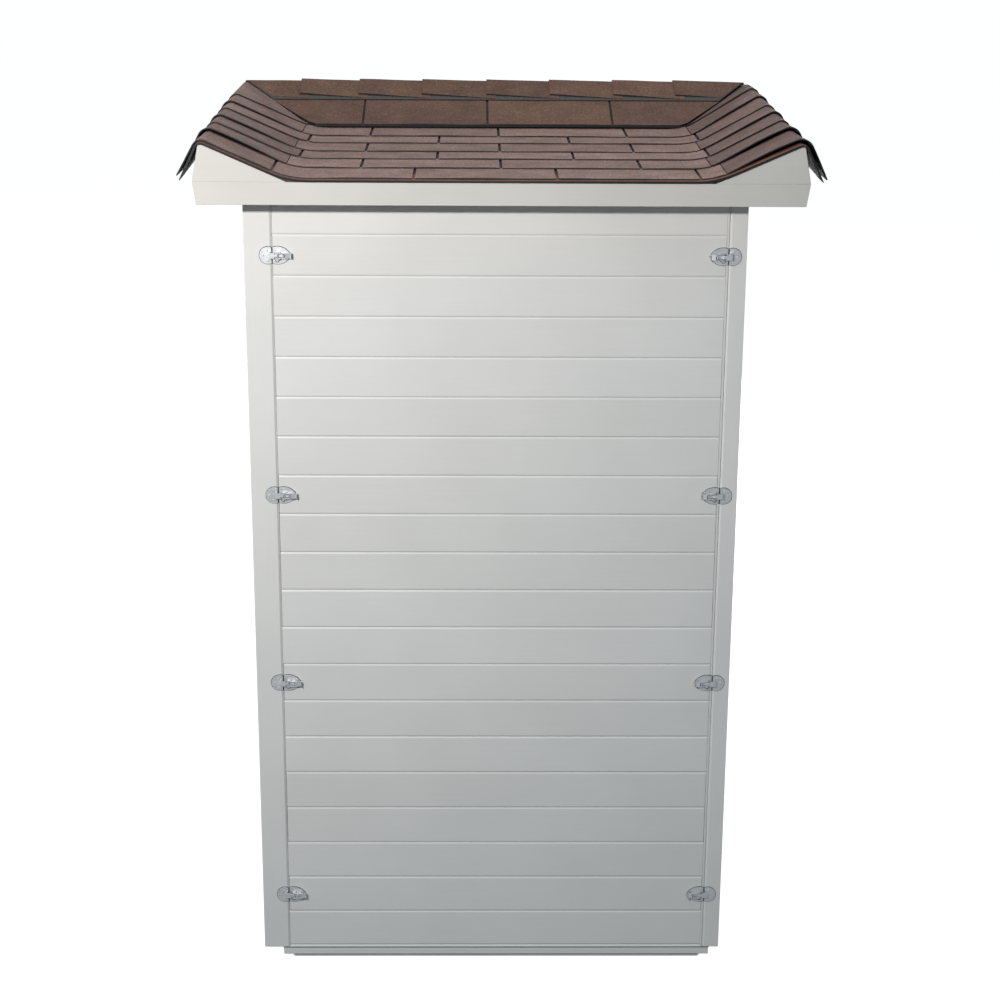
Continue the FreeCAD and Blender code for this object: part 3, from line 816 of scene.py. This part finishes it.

# %% [markdown]
# ## Band and ridge caps of the front wing
# The front wing has one deep course of tabs from the crease up, whose lower edge overhangs the
# tray and throws the darkest line on the roof, with a filler behind that edge.  The filler takes
# the lowest tone, a painted shade under that edge.  Above it lies a sheet without granules, which
# the caps will cover.

# %% Lay the band
BAND_OVERHANG = 14 * MM
BAND_START = LEAD_IN - BAND_OVERHANG
SLOPE = FRONT_RIM - LEAD_IN
CAPS_FROM = 0.60
CAP_START = LEAD_IN + CAPS_FROM * SLOPE
BAND_END = CAP_START + 4 * MM
BAND_SLOTS = (-0.360, -0.028, 0.305)
BAND_SLOT = 6 * MM
BAND_LIFT = 17 * MM
FILLER_FROM, FILLER_TO = 8 * MM, 60 * MM
FILLER_DROP, FILLER_THICK = 5 * MM, 4 * MM
FILLER_SHADE_TONE = 0.2
MAT_LIFT, MAT_THICK = 8.6 * MM, 2 * MM
MAT_LAP, MAT_ROWS = 6 * MM, 8
NEAR_RIM = 15 * MM
RIGHT_GAP = 12 * MM
# Further out than any valley, so that the valleys alone clip a piece.
ALL_THE_WAY = 9


def clipped(row, left, right):
    """Keep a piece between the valleys; the right one opens towards the rim."""
    gap = RIGHT_GAP * min(1, max(0, (row - LEAD_IN) / SLOPE))
    low, high = -half_wide(row) + 1 * MM, half_wide(row) - gap
    return min(max(left, low), high), max(min(right, high), low)


band = Heap()
sides = (-ALL_THE_WAY,) + BAND_SLOTS + (ALL_THE_WAY,)
for left, right in zip(sides, sides[1:]):
    lay(band, on_front, np.linspace(BAND_START, BAND_END, ROWS + 3),
        lambda row: clipped(row, left + BAND_SLOT / 2, right - BAND_SLOT / 2),
        lying(draw.uniform(0, 1) * MM, draw.uniform(0, SEEDS), low=BAND_LIFT),
        tone=TRAY_TONES[0] + TRAY_TONES[1] * draw.random())
# The filler's low tone is painted shade under the band's lower edge.
lay(band, on_front, np.linspace(BAND_START + FILLER_FROM, BAND_START + FILLER_TO, ROWS),
    lambda row: clipped(row, -ALL_THE_WAY, ALL_THE_WAY),
    lying(seed=7.5, low=BAND_LIFT - FILLER_DROP), FILLER_THICK, tone=FILLER_SHADE_TONE)
band.piece("front_wing_band", "cabin", "asphalt_shingle", ridge_granules_key_lit, bitumen)
bare = Heap()
lay(bare, on_front, np.linspace(CAP_START - MAT_LAP, FRONT_RIM - NEAR_RIM, MAT_ROWS),
    lambda row: clipped(row, -ALL_THE_WAY, ALL_THE_WAY), flat(MAT_LIFT), MAT_THICK)
bare.piece("bare_mat_below_caps", "cabin", "asphalt_shingle", bare_mat, bitumen)
print("band and bare sheet laid, tabs in the band:", len(sides) - 1)

# %% [markdown]
# The caps are single tabs about 170 mm apart that bend over the rim.  Each one lies on its left
# neighbour, so its left side stands higher and its lower edge slants.  They need closer rows
# where they bend.

# %% Lay the caps
CAP_SIDES = (-0.540, -0.380, -0.207, -0.030, 0.143, 0.318, 0.486)
CAP_ENDS = 0.75
CAP_LIFT = 9.5 * MM
CAP_OVER = 5 * MM
CAP_WAVE, CAP_WAVES_ACROSS = 0.8 * MM, 2
CAP_SLANT, SLANT_FADE = 20 * MM, 0.4
CAP_LAP = 25 * MM
BELOW_RIM, PAST_BEND = 20 * MM, 25 * MM


def cap_rows(end):
    """Rows up the slope, over the rim, where they are closer, and down to the end."""
    return [*np.linspace(CAP_START, FRONT_RIM - BELOW_RIM, 5),
            *np.linspace(FRONT_RIM - NEAR_RIM, FRONT_RIM + NEAR_RIM, 9),
            *np.linspace(FRONT_RIM + PAST_BEND, end, 4)]


caps = Heap()
sides = (-CAP_ENDS,) + CAP_SIDES + (CAP_ENDS,)
for left, right in zip(sides, sides[1:]):
    tone, seed = TRAY_TONES[0] + TRAY_TONES[1] * draw.random(), draw.uniform(0, SEEDS)
    end = ragged_end(front_line)

    def cap_height(share, column):
        """Its left side stands on the cap before, except for the first one."""
        over = CAP_OVER * (1 - column) if left > -CAP_ENDS else 0
        wave = noise.noise((column * CAP_WAVES_ACROSS + seed, 0, 0)) * CAP_WAVE
        return CAP_LIFT + over + wave

    def cap_place(row, along, height):
        """Its lower edge slants, and the slant fades up the slope."""
        slant = CAP_SLANT * min(1, max(0, (right + CAP_LAP - along) / (right - left + CAP_LAP)))
        fade = max(0, 1 - (row - CAP_START) / (SLANT_FADE * SLOPE))
        return on_front(row + slant * fade, along, height)

    lay(caps, cap_place, cap_rows(end),
        lambda row: clipped(row, left, right + CAP_LAP), cap_height, tone=tone)
cap_piece = caps.piece("ridge_caps", "cabin", "asphalt_shingle", ridge_granules_key_lit, bitumen)
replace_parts(cap_piece, "front_shingle_fold")
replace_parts(bpy.data.objects["shingle_courses"], "left_shingle_fold", "right_shingle_fold")
print("caps laid:", len(sides) - 1)

# %% [markdown]
# ## Draw latches
# A latch has a keeper plate on the post, and on the wall panel a plate with two ears that hold a
# lever and its hook.  The stamped parts keep their measured shapes with their edges broken.

# %% Finish the plates
STAMPED_EDGE = 0.35 * MM
softened("latch_keepers", "cabin", "latch_steel", zinc, STAMPED_EDGE)
softened("latch_plates", "cabin", "latch_steel", zinc, STAMPED_EDGE)
panel_low, panel_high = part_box("back_wall")
print("width of the panel between the seams", round(panel_high.x - panel_low.x, 3))

# %% [markdown]
# Rivet heads are rings that shrink to a dome.  A bent wire below the lever keeps it shut.  A thin
# dark bead follows the edge of each plate, on the post 1 mm further out than on the panel, as a
# painted shadow line round the plate.  The outlines and spots are in mm, along from the seam
# between post and panel and up from the middle of the latch.

# %% Rivets, wire and painted shadow lines
BEAD_WIDE = 1.3 * MM
BEAD_TALL = 0.9 * MM
# Corners of the bead's section, as shares of its width outward and of its height.
BEAD_SECTION = ((-0.5, 0), (-0.5, 1), (0.35, 1), (1, 0))
KEEPER_RADIUS, KEEPER_MIDDLE, KEEPER_SIDE = 21, -10, -2
ALMOND_ROUND, ALMOND_AWAY, ALMOND_ALONG, ALMOND_START = 36.2, 15, 12, 1
RIVET_RADIUS = 2.4 * MM
RIVET_TALL = 1.2 * MM
RIVET_SIDES = 16
DOME_RINGS = 5
ROUND_SIDES = 10
KEEPER_STEPS, ALMOND_STEPS = 30, 18
RIVETS = ((-12, 12.5), (-22, 0), (-12, -12.5))
SPRING = ((6, -11), (10, -16), (12, -16.5), (22, -8))
WIRE = 0.7 * MM
PLATE_TOP = 2 * MM
POST_PROUD = 1 * MM
KEEPER_TOP = POST_PROUD + PLATE_TOP
ACROSS, ALONG, UP = Vector((1, 0, 0)), Vector((0, 1, 0)), Vector((0, 0, 1))


def ring(centre, radius, axis_a, axis_b, count):
    """Corners of a circle round a centre."""
    turns = [2 * math.pi * k / count for k in range(count)]
    return [tuple(centre + axis_a * (math.cos(t) * radius) + axis_b * (math.sin(t) * radius))
            for t in turns]


def rivet(heap, spot, out):
    """A low domed head, as rings that shrink along a quarter of an ellipse."""
    angles = [math.pi / 2 * k / DOME_RINGS for k in range(DOME_RINGS)]
    heap.solid([ring(spot + out * (RIVET_TALL * math.sin(a)), RIVET_RADIUS * math.cos(a),
                     ACROSS, UP, RIVET_SIDES) for a in angles])


def wire(heap, spots, radius):
    """A round wire through some spots, each ring square to the bend."""
    rings = []
    for number, spot in enumerate(spots):
        way = (spots[min(number + 1, len(spots) - 1)] - spots[max(number - 1, 0)]).normalized()
        side = way.cross(ALONG).normalized()
        rings.append(ring(spot, radius, side, ALONG, ROUND_SIDES))
    heap.solid(rings)


def keeper_outline():
    """The D of the keeper: a half round with one straight side, as (along, up) in mm."""
    turn = math.acos((KEEPER_SIDE - KEEPER_MIDDLE) / KEEPER_RADIUS)
    return [(KEEPER_MIDDLE + KEEPER_RADIUS * math.cos(t), KEEPER_RADIUS * math.sin(t))
            for t in np.linspace(turn, 2 * math.pi - turn, KEEPER_STEPS)]


def almond_outline():
    """The almond of the plate: two arcs that meet at a point, as (along, up) in mm."""
    tip = ALMOND_ALONG + math.sqrt(ALMOND_ROUND ** 2 - ALMOND_AWAY ** 2)
    top = [(x, math.sqrt(max(0, ALMOND_ROUND ** 2 - (x - ALMOND_ALONG) ** 2)) - ALMOND_AWAY)
           for x in np.linspace(ALMOND_START, tip, ALMOND_STEPS)]
    return top + [(x, -y) for x, y in top[-2::-1]]


def bead(heap, spot, outline, foot):
    """A thin dark line, a painted shadow, that follows an outline, as a ring of little sections.
    """
    flat_spots = [Vector(point) for point in outline]
    count, start = len(flat_spots), len(heap.corners)
    for number, here in enumerate(flat_spots):
        way = (flat_spots[(number + 1) % count] - flat_spots[number - 1]).normalized()
        away = Vector((way.y, -way.x))
        if away.dot(here - sum(flat_spots, Vector((0, 0))) / count) < 0:
            away.negate()
        for out, lift in BEAD_SECTION:
            at = here + away * (out * BEAD_WIDE / MM)
            heap.corners.append(tuple(spot(at.x * MM, foot + lift * BEAD_TALL, at.y * MM)))
    for number in range(count):
        this, after = start + number * 4, start + (number + 1) % count * 4
        for k in range(4):
            beside = (k + 1) % 4
            heap.faces.append((this + k, this + beside, after + beside, after + k))
            heap.kinds.append(0)
            heap.tones.append(1.0)


print("corners in the two outlines:", len(keeper_outline()), "and", len(almond_outline()))

# %% Finish the eight latches
for side, inward in (("left", 1), ("right", -1)):
    for number in range(1, 5):
        tag = f"{side}_{number}"
        lever, claw = "latch_lever_" + tag, "latch_claw_" + tag
        softened(lever, "lever_" + tag, "latch_steel", zinc, STAMPED_EDGE)
        softened(claw, "claw_" + tag, "latch_steel", zinc, STAMPED_EDGE)
        low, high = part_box(lever)
        origin = Vector((panel_low.x if inward > 0 else panel_high.x, panel_low.y,
                         (low.z + high.z) / 2))

        def spot(along, out, up):
            """A place on this latch, mirrored on the right."""
            return origin + Vector((inward * along, -out, up))

        heads = Heap()
        for along, up in RIVETS:
            rivet(heads, spot(along * MM, KEEPER_TOP, up * MM), -ALONG)
        heads.piece("latch_rivets_" + tag, "cabin", "latch_steel", zinc)
        beads = Heap()
        bead(beads, spot, keeper_outline(), POST_PROUD)
        bead(beads, spot, almond_outline(), 0)
        beads.piece("latch_shadow_line_" + tag, "cabin", "latch_steel", shadow_line_bead)
        spring = Heap()
        wire(spring, [spot(along * MM, PLATE_TOP + WIRE, up * MM) for along, up in SPRING], WIRE)
        spring.piece("latch_spring_" + tag, "cabin", "latch_steel", wire_steel)
print("latches finished: 8")

# %% [markdown]
# ## Painted shadow lines along the sill
# A dark line parts the wall from the floor panel, and another parts the floor panel from the
# runners.  Each is a painted shadow line: a round dark bead lies in the joint, half sunk into the
# timber.

# %% Lay the sill shadow lines
SILL_BEAD = 1.2 * MM
BEAD_UNDER = 1.3 * MM
RUNNER_INSET = 6 * MM
sill = Heap()
for node, inset in (("floor_panel", 0), ("base_runners", RUNNER_INSET)):
    low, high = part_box(node)
    for depth in (low.y, high.y):
        sill.solid([ring(Vector((across, depth, high.z - BEAD_UNDER)), SILL_BEAD, ALONG, UP,
                         ROUND_SIDES) for across in (low.x + inset, high.x - inset)])
low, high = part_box("floor_panel")
for across in (low.x, high.x):
    sill.solid([ring(Vector((across, depth, high.z - BEAD_UNDER)), SILL_BEAD, ACROSS, UP,
                     ROUND_SIDES) for depth in (low.y, high.y)])
sill.piece("sill_shadow_line", "cabin", "painted_timber", shadow_line_bead)
print("sill shadow lines laid")

# %% [markdown]
# ## Floor and sky
# The floor is plain and pale.  The camera sees it nearly white, and metal sees a part of that,
# but it throws little light back, so that the shadow under the eave stays dark.  A cool sky
# fills that shadow, and the camera sees plain white in place of the sky.

# %% Floor and sky
scene = bpy.context.scene
scene.view_settings.view_transform = "Standard"

FLOOR_REACH = 90
FLOOR_GLOW = 0.87
SHARE_IN_METAL = 0.25
floor_mesh = bpy.data.meshes.new("studio_floor")
floor_mesh.from_pydata([(x * FLOOR_REACH, y * FLOOR_REACH, 0)
                        for x, y in ((-1, -1), (1, -1), (1, 1), (-1, 1))], [], [(0, 1, 2, 3)])
floor = bpy.data.objects.new("studio_floor", floor_mesh)
scene.collection.objects.link(floor)
pale, tree, shader = new_material("pale_studio_floor", Roughness=0.9)
shader.inputs["Base Color"].default_value = linear("#404040")
seen = add(tree, "AddShader", {
    0: add(tree, "BsdfDiffuse", {"Color": linear("#bcbcbc")}).outputs[0],
    1: add(tree, "Emission", {"Color": (1, 1, 1, 1), "Strength": FLOOR_GLOW}).outputs[0]})
path = add(tree, "LightPath").outputs
part = add(tree, "Math", {0: path["Is Glossy Ray"], 1: SHARE_IN_METAL,
                          2: path["Is Camera Ray"]}, operation="MULTIPLY_ADD", use_clamp=True)
both = add(tree, "MixShader", {0: part.outputs[0], 1: shader.outputs[0], 2: seen.outputs[0]})
tree.links.new(both.outputs[0], tree.nodes["Material Output"].inputs["Surface"])
floor_mesh.materials.append(pale)

SKY_COLOUR = (0.66, 0.87, 1.0, 1)
SKY_STRENGTH = 0.36
world = bpy.data.worlds.new("soft_sky")
world.use_nodes = True
tree = world.node_tree
sky = tree.nodes["Background"]
sky.inputs["Color"].default_value = SKY_COLOUR
sky.inputs["Strength"].default_value = SKY_STRENGTH
plain = add(tree, "Background", {"Color": (1, 1, 1, 1), "Strength": 1.0})
both = add(tree, "MixShader", {0: add(tree, "LightPath").outputs["Is Camera Ray"],
                               1: sky.outputs[0], 2: plain.outputs[0]})
tree.links.new(both.outputs[0], tree.nodes["World Output"].inputs["Surface"])
scene.world = world
print("floor and sky:", floor.name, world.name)

# %% [markdown]
# ## Lamps
# A small key lamp above the camera throws the crisp edge of the shadow below the eave, and broad
# soft lamps light the far side, the two ends and the roof, which the key can't reach.

# %% Lamps


def lamp(name, spot, target, size, power, colour):
    """A square area lamp that looks at a target."""
    data = bpy.data.lights.new(name, "AREA")
    data.size, data.energy, data.color = size, power, colour
    made = bpy.data.objects.new(name, data)
    made.location = spot
    made.rotation_euler = (Vector(target) - Vector(spot)).to_track_quat("-Z", "Y").to_euler()
    scene.collection.objects.link(made)


WARM, NEARLY_WHITE = (1.0, 0.972, 0.952), (1.0, 0.99, 0.97)
END_SPOT = 5.2
lamp("key", (-1.40, -2.90, 2.78), target=(0, -0.45, 1.4), size=0.10, power=74, colour=WARM)
lamp("far_softbox", (0.8, 5.6, 1.5), target=(0, 0.4, 1.1), size=2.6, power=165,
     colour=NEARLY_WHITE)
lamp("overhead_softbox", (0, 0.2, 6.2), target=(0, 0.1, 2.1), size=2.0, power=72,
     colour=NEARLY_WHITE)
for name, across in (("left_softbox", -END_SPOT), ("right_softbox", END_SPOT)):
    lamp(name, (across, 0.5, 1.0), target=(0, 0.2, 1.0), size=2.2, power=116,
         colour=NEARLY_WHITE)
print("lamps:", len(bpy.data.lights))

# %% [markdown]
# ## Camera
# The camera stands a little left of the middle, well back and above the roof, and looks down at
# the back wall through a long lens, so that the upright edges lean in only a little.

# %% Camera
CAMERA_SPOT = (-0.068, -5.565, 2.938)
SENSOR, LENS, FAR_CLIP = 36, 78.3, 200
LOOK_DOWN, TURN, ROLL = math.radians(18.03), -0.0137, 0.0065
camera_data = bpy.data.cameras.new("camera")
camera_data.sensor_width = SENSOR
camera_data.lens = LENS
camera_data.clip_end = FAR_CLIP
camera = bpy.data.objects.new("camera", camera_data)
camera.matrix_world = (Matrix.Translation(CAMERA_SPOT) @ Matrix.Rotation(TURN, 4, "Z")
                       @ Matrix.Rotation(math.pi / 2 - LOOK_DOWN, 4, "X")
                       @ Matrix.Rotation(ROLL, 4, "Z"))
scene.collection.objects.link(camera)
scene.camera = camera
print("camera looks down by", round(math.degrees(LOOK_DOWN), 1), "degrees")
